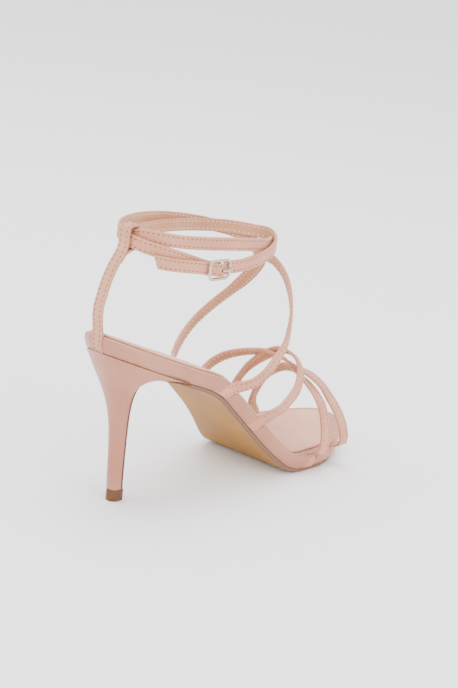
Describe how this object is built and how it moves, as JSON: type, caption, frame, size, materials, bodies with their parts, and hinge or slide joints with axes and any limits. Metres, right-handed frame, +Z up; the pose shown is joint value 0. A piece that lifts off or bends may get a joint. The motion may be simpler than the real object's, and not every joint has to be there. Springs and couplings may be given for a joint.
{
  "type": "strappy heeled sandal",
  "caption": "Open stiletto sandal of narrow straps: crossed straps over the toes, wrapped ankle straps with a side buckle, a slim covered heel and a smooth outsole",
  "frame": {"origin": "the middle of the forefoot's flat spot, on the floor", "axes": "+X to the toe, +Y to the inner side of the foot (the wearer's left), +Z up; the shoe stands on its forefoot and heel tip"},
  "size_m": [0.2246, 0.0851, 0.1635],
  "materials": {
    "upper_leather": "smooth pink-beige strap leather, tan lining inside",
    "sock_lining": "soft matt lining",
    "heel_leather": "smooth leather stretched over the platform and heel",
    "outsole_board": "smooth tan outsole",
    "edge_dye": "brown dyed edge",
    "top_piece_rubber": "brown rubber, slightly worn",
    "buckle_nickel": "pale polished nickel"
  },
  "bodies": {
    "root": {"platform": "heel_leather", "sock": "sock_lining", "outsole": "outsole_board", "heel": "heel_leather", "breast_cover": "edge_dye", "top_piece": "top_piece_rubber", "vamp_straps": "upper_leather", "ankle_strap_outer": "upper_leather", "ankle_strap_inner": "upper_leather", "heel_strap": "upper_leather", "buckle_frame": "buckle_nickel", "buckle_prong": "buckle_nickel"}
  },
  "joints": []
}
